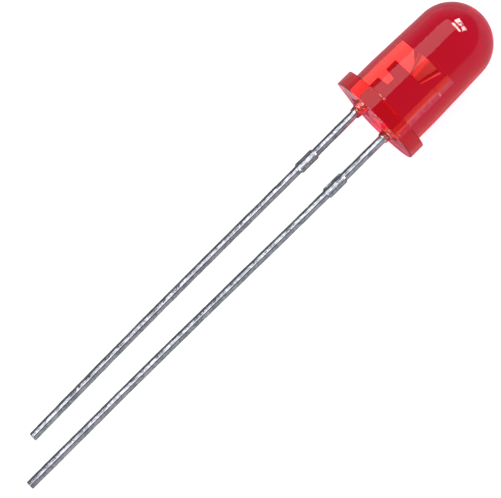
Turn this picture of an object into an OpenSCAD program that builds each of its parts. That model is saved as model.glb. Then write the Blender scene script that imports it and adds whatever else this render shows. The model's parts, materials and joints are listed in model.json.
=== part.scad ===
// Through-hole LED, 5 mm round: a tinted clear epoxy case cast round two
// stamped steel lead frames. It is drawn upright, with the seating plane at
// z = 0, the dome up, the cathode on -X and the anode on +X, and is then laid
// down as it comes to rest: on the rim of its flange and the tips of both leads.

/* [Case] */
// Height of the case from the underside of the flange to the top of the dome
case_h = 8.6; // [7.5:0.1:10]
// Diameter of the straight land above the flange, which a panel hole takes
land_d = 5; // [4.9:0.05:5.05]
// Height of the straight land
land_h = 1.3; // [0.8:0.1:2]
// Diameter of the dome; the case tapers to it so that it leaves its mould
dome_d = 4.75; // [4.6:0.05:4.85]
// Diameter of the flange
flange_d = 5.9; // [5.6:0.1:6.2]
// Thickness of the flange
flange_t = 0.97; // [0.8:0.01:1.3]
// Distance from the axis to the flat that marks the cathode side
flat_x = 2.55; // [2.53:0.01:2.65]
// Radius of the flange's lower rim, where the liquid resin drew back
rim_r = 0.18; // [0.1:0.01:0.3]
// Radius of the resin that wets each lead, at the underside of the flange
wet_r = 0.42; // [0.4:0.01:0.6]
// Length that the resin climbs along each lead
wet_h = 0.5; // [0.2:0.05:0.6]

/* [Leads] */
// Distance between the two leads where they leave the case
pitch = 2.54; // [2.4:0.01:2.6]
// Thickness and width of the square leads
lead_t = 0.42; // [0.36:0.01:0.46]
// Radius that the solder dip leaves on the edges of the leads
edge_r = 0.05; // [0.03:0.01:0.1]
// Length of the short lead, the cathode, below the flange
cathode_l = 26.3; // [20:0.1:27]
// Length of the long lead, the anode, below the flange
anode_l = 28.4; // [27.1:0.1:32]
// Distance from the flange down to the stubs of the cut dam bar
stub_z = 3.55; // [2:0.05:5]
// Height of each stub
stub_h = 1.4; // [1:0.05:1.8]
// Width across each stub
stub_w = 0.62; // [0.5:0.02:0.7]

/* [Inside the case] */
// Height of the cathode's anvil above the seating plane
anvil_h = 4.37; // [4:0.01:5]
// Height of the anode's post above the seating plane
post_h = 4.63; // [4.4:0.01:5]
// Outer diameter of the reflector cup at its rim
cup_d = 1.24; // [1:0.02:1.3]
// Outer diameter of the reflector cup at its foot
cup_foot_d = 0.6; // [0.5:0.02:0.7]
// Height of the whole cup
cup_h = 1.27; // [1:0.01:1.5]
// Depth of the dish in the cup
dish_h = 0.35; // [0.3:0.01:0.45]
// Side of the square light-emitting die
die_w = 0.3; // [0.25:0.01:0.35]
// Height of the die
die_h = 0.25; // [0.2:0.01:0.28]
// Diameter of the gold bond wire
wire_d = 0.03; // [0.025:0.001:0.05]

/* [Hidden] */
$fn = 96;
dome_r = dome_d / 2;
land_r = land_d / 2;
flange_r = flange_d / 2;
dome_z = case_h - dome_r;
land_top = flange_t + land_h;

// The draft cone leaves the land's top edge and meets the dome at a tangent.
taper_aim = atan2(dome_z - land_top, land_r);
taper_reach = norm([land_r, dome_z - land_top]);
taper_a = acos(dome_r / taper_reach) - taper_aim;
taper_r = dome_r * cos(taper_a);
taper_z = dome_z + dome_r * sin(taper_a);

// Stamped features inside the case: the cathode's horn, with the notch between it
// and the cup, the barb that anchors the stem, and the anode's coined end.
foot_z = anvil_h + 0.1 - cup_h;
cup_z = foot_z + cup_h;
horn_w = 0.48;
notch_x = 0.91;
notch_z = anvil_h - 0.57;
barb_z = 1.8;
barb_h = 0.7;
barb_w = 0.46;
coin_h = 1.1;
coin_t = 0.32;
coin_w = 0.46;

// The dish, and the glue and die on its floor.
dish_d = cup_d - 0.18;
dish_floor_d = 0.6;
dish_z = cup_z - dish_h;
glue_d = 0.46;
glue_h = 0.03;
die_z = dish_z + glue_h;

// The bond wire rises from a ball on the die, turns over, and slopes to the post.
ball_d = 0.09;
ball_h = 0.03;
neck_z = die_z + die_h + ball_h;
neck_h = 0.15;
turn_r = 0.14;
slope_a = 4.3;
stitch_h = 0.03;
span_l = (neck_z + neck_h + turn_r * cos(slope_a) - post_h - stitch_h / 2) / sin(slope_a);
span_x = turn_r * (1 + sin(slope_a));
stitch_x = span_x + span_l * cos(slope_a);

// How each lead runs down from the seating plane, in steps of length and of
// bend in degrees towards the other lead.
CATHODE_RUN = [[11, 0], [cathode_l - 11, 1.4]];
ANODE_RUN = [[4.95, 0], [4, 0.85], [4, 0], [10, -0.85], [anode_l - 22.95, 0]];

// How far one step goes inwards and downwards from its own start.
function bend_r(step) = step[0] / (step[1] * PI / 180);
function step_x(step) = step[1] == 0 ? 0 : bend_r(step) * (1 - cos(step[1]));
function step_z(step) = step[1] == 0 ? step[0] : bend_r(step) * sin(step[1]);

// Where a run ends: how far inwards and how far down.
function run_end(steps, i = 0, a = 0, p = [0, 0]) =
    i == len(steps) ? p :
    run_end(steps, i + 1, a + steps[i][1], p + [
        step_x(steps[i]) * cos(a) + step_z(steps[i]) * sin(a),
        step_z(steps[i]) * cos(a) - step_x(steps[i]) * sin(a)
    ]);

cathode_end = run_end(CATHODE_RUN);
anode_end = run_end(ANODE_RUN);
cathode_x = pitch / 2 - cathode_end[0];
anode_x = pitch / 2 - anode_end[0];

// At rest the rim and both tips touch the floor, so the LED tilts down towards
// its tips and rolls a little towards the shorter lead. The tilt and the roll
// depend on each other, and a few rounds settle them.
function roll_at(tilt) = asin((anode_end[1] - cathode_end[1]) * tan(tilt) / (anode_x + cathode_x));
function rim_reach(tilt) = (flange_r - rim_r) * cos(tilt) - rim_r * sin(tilt) + rim_r;
function lead_reach(roll) =
    cathode_x * sin(roll) + (lead_t / 2 - edge_r) * (sin(roll) + cos(roll)) + edge_r;
function settled(tilt, rounds) =
    rounds == 0 ? tilt :
    settled(asin((rim_reach(tilt) - lead_reach(roll_at(tilt)) * cos(tilt)) / cathode_end[1]), rounds - 1);

tilt_a = settled(5, 8);
roll_a = roll_at(tilt_a);

// The box of the LED at rest, for the origin at its bottom centre.
front_x = dome_z * cos(tilt_a) + dome_r;
back_x = anode_end[1] * cos(tilt_a) + lead_t / 2 * sin(tilt_a);
flat_half = sqrt(flange_r * flange_r - flat_x * flat_x);
flat_y = flat_x * cos(roll_a) + flat_half * sin(roll_a);

// Lays the upright LED down with the dome towards +X and the cathode on +Y.
module at_rest() {
    translate([(back_x - front_x) / 2, (flange_r - flat_y) / 2, rim_reach(tilt_a)])
        rotate([-roll_a, -tilt_a, 0])
            rotate([-90, 0, -90])
                children();
}

// Square section of a lead with its four edges rounded.
module lead_section() {
    flat_w = lead_t - 2 * edge_r;
    square([lead_t, flat_w], center = true);
    square([flat_w, lead_t], center = true);
    for (x = [-1, 1], y = [-1, 1])
        translate([x * flat_w / 2, y * flat_w / 2]) circle(edge_r, $fn = 24);
}

// One step of a lead, straight or bent towards +X.
module lead_step(step) {
    if (step[1] == 0)
        translate([0, 0, -step[0]]) linear_extrude(step[0]) lead_section();
    else
        mirror([step[1] < 0 ? 1 : 0, 0, 0])
            translate([abs(bend_r(step)), 0, 0])
                rotate([90, 0, 0]) rotate(180)
                    rotate_extrude(angle = abs(step[1]), $fn = 2880)
                        translate([abs(bend_r(step)), 0]) lead_section();
}

// A whole lead below the seating plane, each step starting where the last one ends.
module lead_run(steps, i = 0) {
    if (i < len(steps)) {
        lead_step(steps[i]);
        translate([step_x(steps[i]), 0, -step_z(steps[i])])
            rotate([0, -steps[i][1], 0])
                lead_run(steps, i + 1);
    }
}

// Stub of the dam bar that held the leads together, cut off beside each lead.
module dam_stub() {
    w = stub_w / 2;
    t = lead_t / 2;
    rotate([90, 0, 0])
        linear_extrude(lead_t, center = true)
            polygon([
                [-t, -stub_z], [t, -stub_z],
                [w, -stub_z - 0.1], [w, -stub_z - stub_h + 0.2],
                [t, -stub_z - stub_h], [-t, -stub_z - stub_h],
                [-w, -stub_z - stub_h + 0.2], [-w, -stub_z - 0.1]
            ]);
}

// Stamped outline of the cathode inside the case: stem, horn, notch, arm and barb.
module anvil_plate() {
    t = lead_t / 2;
    arm_x = (pitch - cup_foot_d) / 2;
    rotate([90, 0, 0])
        linear_extrude(lead_t, center = true)
            polygon([
                [-t, 0], [-t, anvil_h - 0.1], [-t + 0.1, anvil_h],
                [horn_w, anvil_h], [notch_x, notch_z], [arm_x + 0.1, foot_z],
                [t, foot_z], [t, barb_z + barb_h],
                [t + barb_w, barb_z + barb_h - 0.09], [t + barb_w, barb_z + 0.09],
                [t, barb_z], [t, 0]
            ]);
}

module cathode_shape() {
    difference() {
        union() {
            translate([-pitch / 2, 0, 0]) {
                lead_run(CATHODE_RUN);
                dam_stub();
                anvil_plate();
            }
            translate([0, 0, foot_z]) cylinder(cup_h, d1 = cup_foot_d, d2 = cup_d);
        }
        translate([0, 0, dish_z]) cylinder(dish_h, d1 = dish_floor_d, d2 = dish_d);
    }
}

module anode_shape() {
    translate([pitch / 2, 0, 0]) {
        mirror([1, 0, 0]) lead_run(ANODE_RUN);
        dam_stub();
        translate([-lead_t / 2, -lead_t / 2, 0]) cube([lead_t, lead_t, post_h - coin_h]);
        translate([-coin_w / 2, -coin_t / 2, post_h - coin_h]) cube([coin_w, coin_t, coin_h]);
    }
}

module glue_shape() {
    translate([0, 0, dish_z]) cylinder(glue_h, d = glue_d, $fn = 48);
}

module die_shape() {
    translate([-die_w / 2, -die_w / 2, die_z]) cube([die_w, die_w, die_h]);
}

module wire_shape() {
    wire_r = wire_d / 2;
    translate([0, 0, neck_z - ball_h]) cylinder(ball_h, d = ball_d, $fn = 32);
    translate([0, 0, neck_z]) cylinder(neck_h, r = wire_r, $fn = 24);
    translate([turn_r, 0, neck_z + neck_h])
        rotate([90, 0, 0]) rotate(90 - slope_a) {
            rotate_extrude(angle = 90 + slope_a) translate([turn_r, 0]) circle(wire_r, $fn = 24);
            translate([turn_r, 0, 0]) rotate([90, 0, 0]) cylinder(span_l, r = wire_r, $fn = 24);
        }
    translate([stitch_x, 0, post_h]) cylinder(stitch_h, d = ball_d, $fn = 32);
}

// Flange with a rounded lower rim, cut straight on the cathode side.
module flange() {
    difference() {
        rotate_extrude() {
            square([flange_r - rim_r, flange_t]);
            translate([0, rim_r]) square([flange_r, flange_t - rim_r]);
            translate([flange_r - rim_r, rim_r]) circle(rim_r, $fn = 48);
        }
        translate([-flat_x - 2, -flange_r - 1, -1]) cube([2, flange_d + 2, flange_t + 2]);
    }
}

// Land, draft cone and dome above the flange.
module barrel() {
    translate([0, 0, flange_t]) cylinder(land_h, r = land_r);
    translate([0, 0, land_top]) cylinder(taper_z - land_top, r1 = land_r, r2 = taper_r);
    intersection() {
        translate([0, 0, dome_z]) sphere(dome_r);
        translate([-land_r, -land_r, taper_z]) cube([land_d, land_d, dome_r]);
    }
}

// Cast epoxy case, closed round everything that is set in it.
module epoxy_case() {
    color([0.78, 0.05, 0.14, 0.55])
        at_rest()
            difference() {
                union() {
                    flange();
                    barrel();
                    for (x = [-pitch / 2, pitch / 2])
                        translate([x, 0, -wet_h]) cylinder(wet_h, r1 = lead_t * 0.75, r2 = wet_r);
                }
                cathode_shape();
                anode_shape();
                glue_shape();
                die_shape();
                wire_shape();
            }
}

module cathode_lead() {
    color([0.66, 0.66, 0.7]) at_rest() cathode_shape();
}

module anode_lead() {
    color([0.62, 0.63, 0.66]) at_rest() anode_shape();
}

module die_glue() {
    color([0.8, 0.8, 0.78]) at_rest() glue_shape();
}

module led_die() {
    color([0.35, 0.2, 0.2]) at_rest() die_shape();
}

module bond_wire() {
    color([0.95, 0.75, 0.3]) at_rest() wire_shape();
}

epoxy_case();
cathode_lead();
anode_lead();
die_glue();
led_die();
bond_wire();
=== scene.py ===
import json
import math

import bmesh
import bpy
from mathutils import Matrix, Vector


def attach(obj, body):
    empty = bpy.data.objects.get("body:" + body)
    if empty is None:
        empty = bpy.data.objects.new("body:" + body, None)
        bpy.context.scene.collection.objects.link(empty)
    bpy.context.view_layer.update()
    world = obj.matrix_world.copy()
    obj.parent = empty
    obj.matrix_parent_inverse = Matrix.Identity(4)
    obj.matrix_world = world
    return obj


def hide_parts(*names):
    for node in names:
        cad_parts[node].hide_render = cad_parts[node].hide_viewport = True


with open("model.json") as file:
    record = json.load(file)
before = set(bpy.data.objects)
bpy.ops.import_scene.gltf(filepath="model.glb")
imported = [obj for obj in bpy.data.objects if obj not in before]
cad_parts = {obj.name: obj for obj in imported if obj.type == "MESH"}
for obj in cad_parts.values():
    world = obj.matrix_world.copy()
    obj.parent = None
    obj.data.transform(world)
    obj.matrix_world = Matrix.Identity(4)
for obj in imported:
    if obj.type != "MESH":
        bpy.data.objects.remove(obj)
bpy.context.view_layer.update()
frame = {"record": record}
bpy.ops.object.select_all(action="DESELECT")

# ---- Cathode: the shorter half of the lead frame ----
# A strip of mild steel, stamped 0.42 mm square, silvered inside the case and
# dipped in tin outside it. Its top is the anvil, whose coined cup holds the die;
# below the case it keeps the stub of the dam bar that was cut away.
PITCH = 2.54
LEAD = 0.42
TENON, TENON_TOP, STEM_FOOT, SHOULDER = 0.8 * LEAD, 0.9, 0.3, 0.2
COATED, ROUNDED, TWIST = 1.37, 0.4, math.radians(1.5)
RING = 0.08
EDGE_R, LUMPS = 0.05, [(1.7, 0.022), (0.45, 0.026)]
STUB_TOP, STUB_END, STUB_OUT, STUB_TAPER = -3.55, -4.95, 0.1, 0.86
CATHODE_RUN = [(11, 0), (15.3, 1.4)]

mounts = {mount["name"]: mount for mount in frame["record"]["mounts"]}
cathode_exit = Vector(mounts["cathode_pin"]["pos_m"])
anode_exit = Vector(mounts["anode_pin"]["pos_m"])
up = Vector(mounts["barrel"]["axis"]).normalized()
across = (anode_exit - cathode_exit).normalized()
across = (across - across.dot(up) * up).normalized()
seat = (cathode_exit + anode_exit) / 2
laid_down = Matrix.Translation(seat) @ Matrix((across, up.cross(across), up)).transposed().to_4x4()


def lay_down(piece):
    """Puts the drawn piece where it lies at rest, in metres, with its place in its mesh."""
    bpy.context.view_layer.update()
    piece.data.transform(laid_down @ Matrix.Scale(0.001, 4) @ piece.matrix_world)
    piece.matrix_world = Matrix.Identity(4)
    piece.select_set(False)


def name_piece(name):
    piece = bpy.context.object
    piece.name = piece.data.name = name
    return piece


def start_piece(name):
    """Names a new primitive, keeps its place in its mesh and opens it for shaping."""
    bpy.ops.object.transform_apply(location=True)
    piece = name_piece(name)
    bpy.ops.object.mode_set(mode="EDIT")
    return piece


def end_piece():
    """Turns all the faces outwards and closes edit mode."""
    bpy.ops.mesh.select_all(action="SELECT")
    bpy.ops.mesh.normals_make_consistent(inside=False)
    bpy.ops.object.mode_set(mode="OBJECT")


def pick(test, kind="FACE"):
    """Selects, in edit mode, the faces or points whose place and direction pass the test."""
    bpy.ops.mesh.select_mode(type=kind)
    bpy.ops.mesh.select_all(action="DESELECT")
    mesh = bmesh.from_edit_mesh(bpy.context.object.data)
    if kind == "FACE":
        for face in mesh.faces:
            face.select_set(test(face.calc_center_median(), face.normal))
    else:
        for vert in mesh.verts:
            vert.select_set(test(vert.co, vert.normal))
    mesh.select_flush_mode()
    bmesh.update_edit_mesh(bpy.context.object.data)


def push_faces(move):
    bpy.ops.mesh.extrude_region_move(TRANSFORM_OT_translate={"value": move})


def widen(times, x=0):
    """Makes what is selected wider about the upright line through x, and no higher."""
    bpy.ops.transform.resize(value=(times, times, 1), center_override=(x, 0, 0))


def rework(piece, kind, **settings):
    """Adds one modifier to the piece and applies it."""
    bpy.context.view_layer.objects.active = piece
    modifier = piece.modifiers.new(kind.lower(), kind)
    for name, value in settings.items():
        setattr(modifier, name, value)
    bpy.ops.object.modifier_apply(modifier=modifier.name)


def soften(piece, width, segments=2, sharp=0.6):
    """Rounds the edges where two faces turn by more than the angle sharp, in radians."""
    rework(
        piece, "BEVEL", width=width, segments=segments, limit_method="ANGLE", angle_limit=sharp
    )


def weld(piece, other):
    """Makes one solid of two."""
    rework(piece, "BOOLEAN", object=other, operation="UNION", solver="EXACT")
    bpy.data.objects.remove(other)


def draw_lead(side, run):
    """Draws one lead, from the tenon in its stem down to its tip. side is -1 or 1, and
    run is a list of lengths and of bends in degrees towards the other lead."""
    x = side * PITCH / 2
    bpy.ops.mesh.primitive_plane_add(size=TENON, location=(x, 0, TENON_TOP))
    lead = start_piece("lead")
    bpy.ops.mesh.subdivide(number_cuts=3)
    bpy.ops.transform.tosphere(value=ROUNDED)
    bpy.ops.transform.rotate(value=TWIST, orient_axis="Z", center_override=(x, 0, TENON_TOP))
    push_faces((0, 0, STEM_FOOT - TENON_TOP))
    push_faces((0, 0, SHOULDER - STEM_FOOT))
    widen(COATED, x)
    push_faces((0, 0, -SHOULDER))
    place, lean = Vector((x, 0, 0)), 0
    for length, bend in run:
        count = round(length / RING)
        turn = math.radians(bend) / count
        for _ in range(count):
            lean += turn / 2
            step = Vector((-side * math.sin(lean), 0, -math.cos(lean))) * length / count
            place += step
            lean += turn / 2
            push_faces(step)
            if turn:
                bpy.ops.transform.rotate(
                    value=side * turn, orient_axis="Y", center_override=place
                )
    bpy.ops.mesh.select_all(action="SELECT")
    bpy.ops.mesh.normals_make_consistent(inside=False)
    stub_middle = (x, 0, (STUB_TOP + STUB_END) / 2)
    for way in (-1, 1):
        pick(lambda middle, normal: normal.x * way > 0.7 and STUB_END < middle.z < STUB_TOP)
        push_faces((way * STUB_OUT, 0, 0))
        bpy.ops.transform.resize(value=(1, 1, STUB_TAPER), center_override=stub_middle)
    bpy.ops.object.mode_set(mode="OBJECT")
    return lead


def coat(lead):
    """Rounds the edges as the molten tin does and lets the coat swell and thin out."""
    soften(lead, EDGE_R, segments=4, sharp=0.8)
    for size, depth in LUMPS:
        lumps = bpy.data.textures.new(f"lumps {size}", "CLOUDS")
        lumps.noise_scale = size
        rework(lead, "DISPLACE", texture=lumps, strength=depth, mid_level=0.5)


cathode = draw_lead(-1, CATHODE_RUN)
coat(cathode)

# The anvil grows out of a square stem: the barb and the arm are pushed out sideways,
# and the arm's end slopes down into the notch between the horn and the cup.
ANVIL_TOP, HORN_END, NOTCH_X, NOTCH_Z = 4.37, -0.79, -0.36, 3.8
CUP_FOOT, CUP_TOP, CUP_FOOT_R, CUP_R = 3.2, 4.47, 0.3, 0.62
ARM_FOOT, ARM_LEAN = CUP_FOOT + 0.01, 0.16
BARB_FOOT, BARB_TOP, BARB_OUT, BARB_TAPER = 1.8, 2.5, 0.46, 0.75
STEM_SHIFT, LEDGE, ANVIL_EDGE = 0.07, 0.2, 0.02

stem_x = STEM_SHIFT - PITCH / 2
bpy.ops.mesh.primitive_plane_add(size=LEAD, location=(stem_x, 0, STEM_FOOT))
anvil = start_piece("anvil")
levels = [
    STEM_FOOT, BARB_FOOT - LEDGE, BARB_FOOT, BARB_TOP, BARB_TOP + LEDGE, ARM_FOOT, ANVIL_TOP
]
for low, high in zip(levels, levels[1:]):
    push_faces((0, 0, high - low))
pick(lambda middle, normal: normal.x > 0.7 and BARB_FOOT < middle.z < BARB_TOP)
push_faces((BARB_OUT, 0, 0))
bpy.ops.transform.resize(
    value=(1, 1, BARB_TAPER), center_override=(0, 0, (BARB_FOOT + BARB_TOP) / 2)
)
pick(lambda middle, normal: normal.x > 0.7 and middle.z > CUP_FOOT)
push_faces((HORN_END - stem_x - LEAD / 2, 0, 0))
push_faces((NOTCH_X - HORN_END, 0, 0))
arm_end = (HORN_END + NOTCH_X) / 2
pick(lambda point, normal: point.x > arm_end and CUP_FOOT < point.z < NOTCH_Z, "VERT")
bpy.ops.transform.translate(value=(ARM_LEAN, 0, 0))
pick(lambda point, normal: point.x > arm_end and point.z > NOTCH_Z, "VERT")
bpy.ops.transform.translate(value=(0, 0, NOTCH_Z - ANVIL_TOP))
bpy.ops.mesh.select_mode(type="FACE")
end_piece()
soften(anvil, ANVIL_EDGE)

# The cup is a cone whose top is inset for the rim and pressed down for the dish.
DISH_R, DISH_FLOOR_R, DISH_DEPTH, CUP_EDGE = 0.53, 0.3, 0.35, 0.03

bpy.ops.mesh.primitive_cone_add(
    vertices=96, radius1=CUP_FOOT_R, radius2=CUP_R, depth=CUP_TOP - CUP_FOOT,
    location=(0, 0, (CUP_FOOT + CUP_TOP) / 2),
)
cup = start_piece("cup")
pick(lambda middle, normal: normal.z > 0.9)
bpy.ops.mesh.inset(thickness=CUP_R - DISH_R)
push_faces((0, 0, -DISH_DEPTH))
widen(DISH_FLOOR_R / DISH_R)
bpy.ops.object.mode_set(mode="OBJECT")
soften(cup, CUP_EDGE, segments=3)
weld(anvil, cup)
weld(cathode, anvil)
cathode = name_piece("cathode_frame")
bpy.ops.object.shade_smooth_by_angle(angle=math.radians(38))
lay_down(cathode)
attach(cathode, "root")
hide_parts("cathode_lead")


class Signal:
    """An output of a shader node, which Python's operators can reckon with."""

    def __init__(self, tree, socket=None):
        self.tree, self.socket = tree, socket

    def node(self, kind, settings=None, sockets=None, out=0):
        """Adds a node of any kind, with its settings and its sockets' values or links."""
        new = self.tree.nodes.new("ShaderNode" + kind)
        for name, value in (settings or {}).items():
            setattr(new, name, value)
        for name, value in (sockets or {}).items():
            if isinstance(value, Signal):
                self.tree.links.new(value.socket, new.inputs[name])
            else:
                new.inputs[name].default_value = value
        return Signal(self.tree, new.outputs[out])

    def math(self, operation, *values):
        return self.node("Math", {"operation": operation}, dict(enumerate(values)))

    def __add__(self, other):
        return self.math("ADD", self, other)

    def __radd__(self, other):
        return self.math("ADD", other, self)

    def __sub__(self, other):
        return self.math("SUBTRACT", self, other)

    def __rsub__(self, other):
        return self.math("SUBTRACT", other, self)

    def __mul__(self, other):
        return self.math("MULTIPLY", self, other)

    def __rmul__(self, other):
        return self.math("MULTIPLY", other, self)


def new_finish(name):
    """An empty material and the signal of its object coordinates."""
    finish = bpy.data.materials.new(name)
    finish.use_nodes = True
    finish.node_tree.nodes.clear()
    place = Signal(finish.node_tree).node("TexCoord", out="Object")
    return finish, place


def noise(place, size, detail=2.0, rough=0.5):
    """Cloudy noise from 0 to 1 whose patches are about that many metres wide."""
    return place.node(
        "TexNoise", {}, {"Vector": place, "Scale": 1 / size, "Detail": detail, "Roughness": rough}
    )


def spread(signal, low, high, to_low=0.0, to_high=1.0):
    """Goes softly from one value to another while the signal goes from low to high."""
    return signal.node(
        "MapRange", {"interpolation_type": "SMOOTHSTEP"},
        {"Value": signal, "From Min": low, "From Max": high, "To Min": to_low, "To Max": to_high},
    )


def blend(mask, one, other):
    """One colour where the mask is 0 and the other where it is 1."""
    return mask.node("Mix", {"data_type": "RGBA"}, {0: mask, 6: one, 7: other}, out=2)


def bump(height, depth):
    """A surface that rises by that depth, in metres, where the height is 1."""
    return height.node("Bump", {}, {"Height": height, "Strength": 1.0, "Distance": depth})


def end_finish(finish, shader, volume=None):
    """Ends a material with its shader and, where it is clear, with what fills it."""
    output = finish.node_tree.nodes.new("ShaderNodeOutputMaterial")
    finish.node_tree.links.new(shader.socket, output.inputs["Surface"])
    if volume:
        finish.node_tree.links.new(volume.socket, output.inputs["Volume"])


def cover(piece, finish):
    piece.data.materials.clear()
    piece.data.materials.append(finish)


# Silver shows inside the case, and grey tin with duller patches outside it.
tin, place = new_finish("silver and dipped tin")
height = place.node("VectorMath", {"operation": "DOT_PRODUCT"}, {0: place, 1: up}, "Value")
silvered = spread(height - up.dot(seat), -0.0004, -0.0002)
grain = noise(place, 0.00016, 3.0, 0.6)
patches = noise(place, 0.0009)
dull = spread(0.6 * grain + 0.4 * patches, 0.38, 0.62)
coated = blend(dull, (0.80, 0.82, 0.88, 1), (0.40, 0.42, 0.50, 1))
plated = blend(patches, (0.96, 0.92, 0.70, 1), (0.92, 0.86, 0.64, 1))
end_finish(tin, place.node("BsdfPrincipled", {}, {
    "Base Color": blend(silvered, coated, plated),
    "Metallic": 1.0,
    "Roughness": spread(silvered, 0, 1, 0, 0.02) + spread(dull, 0, 1, 0.08, 0.16),
    "Normal": bump(spread(silvered, 0, 1, 1, 0) * (0.7 * grain + 0.3 * patches), 0.000014),
}))
cover(cathode, tin)

# ---- Anode: the longer half of the lead frame ----
# The same steel strip, stamped and dipped with the cathode. Inside the case its
# post stands free; its end is coined thinner, and the bond wire is stitched on it.
ANODE_RUN = [(4.95, 0), (4, 0.85), (4, 0), (10, -0.85), (5.45, 0)]
POST_TOP, POST_SHIFT, POST_EDGE = 4.63, 0.04, 0.03
COINED, COIN_SLOPE, COIN_WIDE, COIN_THIN = 1.1, 0.06, 1.1, 0.75

anode = draw_lead(1, ANODE_RUN)
coat(anode)
post_x = PITCH / 2 + POST_SHIFT
bpy.ops.mesh.primitive_plane_add(size=LEAD, location=(post_x, 0, STEM_FOOT))
post = start_piece("post")
push_faces((0, 0, POST_TOP - COINED - STEM_FOOT))
push_faces((0, 0, COIN_SLOPE))
bpy.ops.transform.resize(value=(COIN_WIDE, COIN_THIN, 1), center_override=(post_x, 0, 0))
push_faces((0, 0, COINED - COIN_SLOPE))
end_piece()
soften(post, POST_EDGE)
weld(anode, post)
anode = name_piece("anode_frame")
bpy.ops.object.shade_smooth_by_angle(angle=math.radians(38))
lay_down(anode)
cover(anode, tin)
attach(anode, "root")
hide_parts("anode_lead")

# ---- Die glue ----
# A dot of silver-filled epoxy on the floor of the cup. It was stamped on wet, so
# its outline is uneven; it holds the die and carries its current.
DISH_FLOOR = CUP_TOP - DISH_DEPTH
GLUE_R, GLUE, GLUE_SIDE, GLUE_CROWN, GLUE_LIP = 0.23, 0.03, 0.018, 0.93, 0.04
GLUE_LUMP, GLUE_UNEVEN = 0.12, 0.012

bpy.ops.mesh.primitive_circle_add(
    vertices=48, radius=GLUE_R, fill_type="NGON", location=(0, 0, DISH_FLOOR)
)
glue = start_piece("glue_dot")
push_faces((0, 0, GLUE_SIDE))
push_faces((0, 0, GLUE - GLUE_SIDE))
widen(GLUE_CROWN)
bpy.ops.mesh.inset(thickness=GLUE_LIP)
end_piece()
lumps = bpy.data.textures.new("glue lumps", "CLOUDS")
lumps.noise_scale = GLUE_LUMP
rework(glue, "DISPLACE", texture=lumps, strength=GLUE_UNEVEN, mid_level=0.5)
bpy.ops.object.shade_smooth_by_angle(angle=math.radians(40))
lay_down(glue)
silver, place = new_finish("silver glue")
flakes = noise(place, 0.00002, 3.0)
end_finish(silver, place.node("BsdfPrincipled", {}, {
    "Base Color": blend(spread(flakes, 0.35, 0.65), (0.6, 0.6, 0.58, 1), (0.82, 0.82, 0.8, 1)),
    "Metallic": 0.6,
    "Roughness": spread(flakes, 0.3, 0.7, 0.45, 0.7),
    "Normal": bump(flakes, 0.000004),
}))
cover(glue, silver)
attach(glue, "root")
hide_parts("die_glue")

# ---- Die ----
# A sawn block of semiconductor, 0.3 mm square, which gives the light. The saw
# narrows it at the top, and its bond pad is hidden under the ball of the wire.
DIE, DIE_HIGH = 0.3, 0.25
SAW_CUT, SAW_NARROW, DIE_LIP, DIE_EDGE = 0.05, 0.86, 0.01, 0.006
DIE_FOOT = DISH_FLOOR + GLUE

bpy.ops.mesh.primitive_plane_add(size=DIE, location=(0, 0, DIE_FOOT))
die = start_piece("die")
push_faces((0, 0, DIE_HIGH - SAW_CUT))
push_faces((0, 0, SAW_CUT))
widen(SAW_NARROW)
bpy.ops.mesh.inset(thickness=DIE_LIP)
end_piece()
soften(die, DIE_EDGE)
bpy.ops.object.shade_smooth_by_angle(angle=math.radians(30))
lay_down(die)
crystal, place = new_finish("semiconductor")
saw_marks = noise(place, 0.00003)
end_finish(crystal, place.node("BsdfPrincipled", {}, {
    "Base Color": blend(spread(saw_marks, 0.4, 0.6), (0.16, 0.08, 0.07, 1), (0.26, 0.15, 0.13, 1)),
    "Roughness": spread(saw_marks, 0.3, 0.7, 0.25, 0.5),
    "Normal": bump(saw_marks, 0.000003),
}))
cover(die, crystal)
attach(die, "root")
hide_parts("led_die")

# ---- Bond wire ----
# Gold wire 0.03 mm thick. A ball is melted on its end and pressed on the die; the
# wire rises, turns over, slopes to the post and is flattened there into a stitch.
WIRE_R, BALL_R, BALL_TOP_R, BALL = 0.015, 0.045, 0.036, 0.03
NECK, TURN_R, SLOPE = 0.15, 0.14, math.radians(4.3)
SPAN_PARTS = 8
STITCH, STITCH_WIDE, STITCH_THIN = 0.04, 2.2, 0.4

ball_foot = DIE_FOOT + DIE_HIGH
neck_foot = ball_foot + BALL
fall = neck_foot + NECK + TURN_R * math.cos(SLOPE) - POST_TOP - WIRE_R
reach = fall / math.tan(SLOPE)
bpy.ops.mesh.primitive_circle_add(
    vertices=16, radius=BALL_R, fill_type="NGON", location=(0, 0, ball_foot)
)
wire = start_piece("gold_wire")
push_faces((0, 0, 0.4 * BALL))
push_faces((0, 0, 0.4 * BALL))
widen(BALL_TOP_R / BALL_R)
push_faces((0, 0, 0.2 * BALL))
widen(WIRE_R / BALL_TOP_R)
push_faces((0, 0, NECK))
bpy.ops.mesh.spin(
    steps=14, angle=math.pi / 2 + SLOPE, center=(TURN_R, 0, neck_foot + NECK), axis=(0, -1, 0)
)
for _ in range(SPAN_PARTS):
    push_faces((reach / SPAN_PARTS, 0, -fall / SPAN_PARTS))
push_faces((0.75 * STITCH, 0, -0.1 * STITCH))
bpy.ops.transform.resize(
    value=(1, STITCH_WIDE, STITCH_THIN), center_override=(0, 0, POST_TOP + STITCH_THIN * WIRE_R)
)
push_faces((STITCH, 0, -0.05 * STITCH))
bpy.ops.mesh.select_all(action="SELECT")
bpy.ops.mesh.remove_doubles(threshold=0.0005)
end_piece()
bpy.ops.object.shade_smooth_by_angle(angle=math.radians(50))
lay_down(wire)
gold, place = new_finish("bond gold")
drawn = noise(place, 0.00001)
end_finish(gold, place.node("BsdfPrincipled", {}, {
    "Base Color": blend(drawn, (0.95, 0.66, 0.28, 1), (1.0, 0.78, 0.36, 1)),
    "Metallic": 1.0,
    "Roughness": spread(drawn, 0.3, 0.7, 0.15, 0.3),
}))
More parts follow.
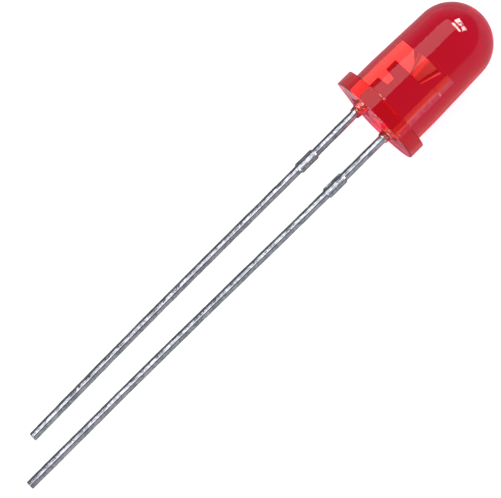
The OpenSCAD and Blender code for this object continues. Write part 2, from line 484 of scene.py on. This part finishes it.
cover(wire, gold)
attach(wire, "root")
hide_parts("bond_wire")

# ---- Epoxy case ----
# Clear epoxy dyed red, cast dome down round the finished lead frame. The flange
# is the last of it to fill, so its rim is rounded by surface tension, its
# underside is slightly hollow, and the resin wets both leads for a short way.
CASE_TOP, LAND_R, LAND_TOP, DOME_R = 8.6, 2.5, 2.27, 2.375
FLANGE_R, FLANGE, FLAT = 2.95, 0.97, 2.55
RIM_R, TOP_EDGE_R, LAND_FOOT_R, FLAT_EDGE = 0.045, 0.015, 0.08, 0.012
HOLLOW = [(0.9, 0.06), (1.6, 0.05), (2.2, 0.03), (2.6, 0.005)]
AROUND, UPWARDS = 192, 32
SLEEVE = [(-0.5, 0.2), (-0.47, 0.235), (-0.34, 0.24), (-0.24, 0.25), (-0.15, 0.27),
          (-0.08, 0.31), (-0.03, 0.38), (0.02, 0.5), (0.16, 0.55)]


def arc(r, z, radius, start, end, parts):
    """Points of the case's outline along an arc round (r, z), between two angles."""
    angles = [start + (end - start) * i / parts for i in range(parts + 1)]
    return [(r + radius * math.cos(a), z + radius * math.sin(a)) for a in angles]


dome_mid = CASE_TOP - DOME_R
to_land = math.atan2(dome_mid - LAND_TOP, LAND_R)
taper = math.acos(DOME_R / math.hypot(LAND_R, dome_mid - LAND_TOP)) - to_land
quarter = math.pi / 2
outline = HOLLOW + arc(FLANGE_R - RIM_R, RIM_R, RIM_R, -quarter, 0, 8)
outline += arc(FLANGE_R - TOP_EDGE_R, FLANGE - TOP_EDGE_R, TOP_EDGE_R, 0, quarter, 3)
outline += arc(LAND_R + LAND_FOOT_R, FLANGE + LAND_FOOT_R, LAND_FOOT_R, -quarter, -math.pi, 8)
outline += [(LAND_R, LAND_TOP)] + arc(0, dome_mid, DOME_R, taper, quarter, UPWARDS)[:-1]

bpy.ops.mesh.primitive_circle_add(
    vertices=AROUND, radius=outline[0][0], fill_type="NGON", location=(0, 0, outline[0][1])
)
case = start_piece("case")
bpy.ops.mesh.select_mode(type="EDGE")
for (r_old, z_old), (r_new, z_new) in zip(outline, outline[1:]):
    bpy.ops.mesh.extrude_edges_move(TRANSFORM_OT_translate={"value": (0, 0, z_new - z_old)})
    widen(r_new / r_old)
bpy.ops.mesh.extrude_edges_move(
    TRANSFORM_OT_translate={"value": (0, 0, CASE_TOP - outline[-1][1])}
)
bpy.ops.mesh.merge(type="CENTER")
bpy.ops.mesh.select_all(action="SELECT")
bpy.ops.mesh.normals_make_consistent(inside=False)
bpy.ops.mesh.bisect(
    plane_co=(-FLAT, 0, 0), plane_no=(-1, 0, 0), use_fill=True, clear_outer=True
)
bpy.ops.object.mode_set(mode="OBJECT")
soften(case, FLAT_EDGE, sharp=0.7)

# Resin that crept down each lead: square like the lead at its end, and widening
# to its foot where it leaves the flange.
for side in (-1, 1):
    x = side * PITCH / 2
    bpy.ops.mesh.primitive_plane_add(size=2 * SLEEVE[0][1], location=(x, 0, SLEEVE[0][0]))
    sleeve = start_piece("sleeve")
    bpy.ops.mesh.subdivide(number_cuts=9)
    for (z_old, half_old), (z_new, half_new) in zip(SLEEVE, SLEEVE[1:]):
        push_faces((0, 0, z_new - z_old))
        widen(half_new / half_old, x)
    end_piece()
    weld(case, sleeve)
bpy.context.view_layer.objects.active = case
case.select_set(True)
bpy.ops.object.shade_smooth_by_angle(angle=math.radians(35))
lay_down(case)

resin, place = new_finish("red epoxy")
mould = noise(place, 0.0016, 1.0)
dye = place.node("VolumeAbsorption", {}, {"Color": (0.975, 0.29, 0.332, 1), "Density": 1000.0})
end_finish(resin, place.node("BsdfPrincipled", {}, {
    "Base Color": blend(mould, (1.0, 0.97, 0.97, 1), (0.98, 0.94, 0.94, 1)),
    "Transmission Weight": 1.0,
    "IOR": 1.55,
    "Roughness": spread(mould, 0, 1, 0, 0.02),
    "Normal": bump(mould, 0.000006),
}), dye)
cover(case, resin)
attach(case, "root")
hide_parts("epoxy_case")

# ---- Studio ----
# A pale table with painted rosy light where the case lies, an overhead softbox along
# the diode, a lit card behind the leads, a window of bright panes beyond the dome,
# and a camera with a long lens.
bpy.ops.mesh.primitive_plane_add(size=6, location=(0, 0, 0))
table = name_piece("table")
paper, place = new_finish("pale paper")
length, width = (place.node("SeparateXYZ", {}, {0: place}, axis) for axis in "XY")


def strip_of_table(middle, full, gone):
    """1 within the first distance, in metres, of a line along the table, and 0 past the second."""
    off = width - middle
    return spread(off * off, full * full, gone * gone, 1, 0)


def light(colour):
    """A glow of that colour from the table, whatever falls on it."""
    return place.node("Emission", {}, {"Color": colour, "Strength": 1.0})


# The table looks white to the camera. Metal mirrors it grey, with a faint painted
# glow for bounced light, and rosy close to the case from painted rosy light. Through
# the resin it shows only painted light: rose, and bright in one strip beside the case.
fibre = noise(place, 0.02, 3.0)
paper_grey = place.node("BsdfDiffuse", {}, {
    "Color": blend(fibre, (0.25, 0.25, 0.25, 1), (0.27, 0.27, 0.27, 1)),
})
# Painted rosy light on the table close to the case, as the red case would throw it.
painted_rosy_light = strip_of_table(middle=0.0016, full=0.003317, gone=0.004359)
painted_rosy_light = painted_rosy_light * spread(length, seat.x - 0.0012, seat.x - 0.0002)
# The table seen in metal: its grey, a faint painted grey glow everywhere, and the painted rosy light.
mirrored = place.node("AddShader", {}, {
    0: paper_grey, 1: light(blend(painted_rosy_light, (0.09, 0.09, 0.09, 1), (0.6, 0.07, 0.12, 1))),
})
to_camera = place.node("AddShader", {}, {0: mirrored, 1: light((0.85, 0.85, 0.85, 1))})
# Painted light under the case, seen through the resin: rose, and deeper rose beneath it.
painted_rose_spot = strip_of_table(middle=0, full=0.004, gone=0.006325)
painted_rose_spot = painted_rose_spot * spread(length, seat.x - 0.003, seat.x)
painted_rose_light = blend(painted_rose_spot, (0.64, 0.3, 0.45, 1), (0.6, 0.15, 0.52, 1))
# A painted bright strip of lit table beside the case, seen through the resin.
painted_bright_strip = spread(width, -0.0045, -0.0032) * spread(width, -0.0032, -0.0022, 1, 0)
painted_light_through_resin = light(blend(painted_bright_strip, painted_rose_light, (1.8, 1.8, 1.8, 1)))
seen, through = (place.node("LightPath", out=f"Is {kind} Ray") for kind in ("Camera", "Transmission"))
looked_at = place.node("MixShader", {}, {0: seen, 1: mirrored, 2: to_camera})
end_finish(paper, place.node("MixShader", {}, {0: through, 1: looked_at, 2: painted_light_through_resin}))
cover(table, paper)

# The room is white to the camera and dim otherwise, with a paler wall on the
# cathode's side, a pale end behind the leads and a pale horizon. Through the
# resin it is brighter, most of all towards the leads and the cathode's side.
world = bpy.data.worlds.new("studio")
bpy.context.scene.world = world
world.use_nodes = True
world.node_tree.nodes.clear()
room = Signal(world.node_tree)
seen, through = (room.node("LightPath", out=f"Is {kind} Ray") for kind in ("Camera", "Transmission"))
way = room.node("TexCoord", out="Generated")
lengthways, sideways, upwards = (way.node("SeparateXYZ", {}, {0: way}, axis) for axis in "XYZ")
side_wall = spread(upwards, 0, 0.85, 0.35, 0) * spread(sideways, 0.1, 0.6)
end_wall = spread(lengthways, -0.95, -0.7, 0.9, 0) * spread(upwards, 0.2, 0.5, 1, 0)
horizon = spread(upwards, 0.02, 0.12, 0.16, 0)
dim = 0.07 + side_wall + end_wall + horizon
clear = spread(lengthways, -0.7, -0.2, 1.25, 0.7) * spread(sideways, -0.2, 0.35, 0.6, 1)
white = seen.math("MAXIMUM", seen, clear * through)
sky = room.node("Background", {}, {"Color": (1, 1, 1, 1), "Strength": dim + (1 - dim) * white})
output = world.node_tree.nodes.new("ShaderNodeOutputWorld")
world.node_tree.links.new(sky.socket, output.inputs["Surface"])


def softbox(name, place, aim, size, radiance):
    """A rectangular lamp facing a point, with the brightness of its face given."""
    lamp = bpy.data.lights.new(name, "AREA")
    lamp.shape, (lamp.size, lamp.size_y) = "RECTANGLE", size
    lamp.energy = radiance * size[0] * size[1] * math.pi
    holder = bpy.data.objects.new(name, lamp)
    bpy.context.scene.collection.objects.link(holder)
    holder.location = place
    holder.rotation_euler = (Vector(aim) - Vector(place)).to_track_quat("-Z", "Y").to_euler()
    holder.visible_camera = False
    return holder


softbox("overhead", place=(0.05, 0.255, 0.9), aim=(0.05, 0.255, 0), size=(1.0, 0.75), radiance=1.3)
card = softbox("card", place=(-0.6, -0.03, 0.2), aim=(0, 0, 0.003), size=(0.4, 0.3), radiance=8.0)
card.visible_transmission = False

# Each row of the window has its height above the middle, its panes' height, and
# each pane's place to the side with its width.
WINDOW, PANE_LIGHT = Vector((0.649, -0.034, 0.76)), 17.0
ROWS = [
    (0.2, 0.05, [(0.28, 0.09)]),
    (0.06, 0.22, [(0.22, 0.21)]),
    (0.14, 0.035, [(-0.105, 0.43)]),
    (0.034, 0.15, [(0.02, 0.09), (-0.21, 0.19)]),
    (-0.178, 0.11, [(0.17, 0.21), (-0.12, 0.3)]),
]
window_side = Vector((0, 1, 0))
window_up = window_side.cross(WINDOW).normalized()
for row, high, panes in ROWS:
    for side, wide in panes:
        pane = WINDOW + side * window_side + row * window_up
        softbox(f"pane {row} {side}", pane, pane - WINDOW, (wide, high), PANE_LIGHT)

# The camera looks at the case from 34 degrees round towards the anode and a
# little from below the flange, and is rolled until the dome points up and right.
# The seat stands to the right of the middle of the view and above it.
ROUND, UNDER, ROLL = math.radians(34), math.radians(4.75), math.radians(45.2)
VIEW_WIDTH, SEAT_RIGHT, SEAT_UP = 0.0283051, 0.0069802, 0.0072514
DISTANCE = 0.6

back_dir = laid_down.to_3x3() @ Vector((
    math.sin(ROUND) * math.cos(UNDER), -math.cos(ROUND) * math.cos(UNDER), -math.sin(UNDER)
))
case_up = (up - up.dot(back_dir) * back_dir).normalized()
case_right = case_up.cross(back_dir)
view_up = math.cos(ROLL) * case_up - math.sin(ROLL) * case_right
view_right = view_up.cross(back_dir)
aim = seat - SEAT_RIGHT * view_right - SEAT_UP * view_up
camera = bpy.data.objects.new("camera", bpy.data.cameras.new("camera"))
bpy.context.scene.collection.objects.link(camera)
camera.data.lens = camera.data.sensor_width * DISTANCE / VIEW_WIDTH
camera.data.clip_start, camera.data.clip_end = 0.01, 20
camera.matrix_world = Matrix.Translation(aim + DISTANCE * back_dir) @ Matrix(
    (view_right, view_up, back_dir)
).transposed().to_4x4()
bpy.context.scene.camera = camera
bpy.context.scene.view_settings.view_transform = "Standard"
bpy.context.scene.cycles.use_denoising = True
bpy.context.scene.cycles.transmission_bounces = 48
bpy.context.scene.cycles.max_bounces = 48
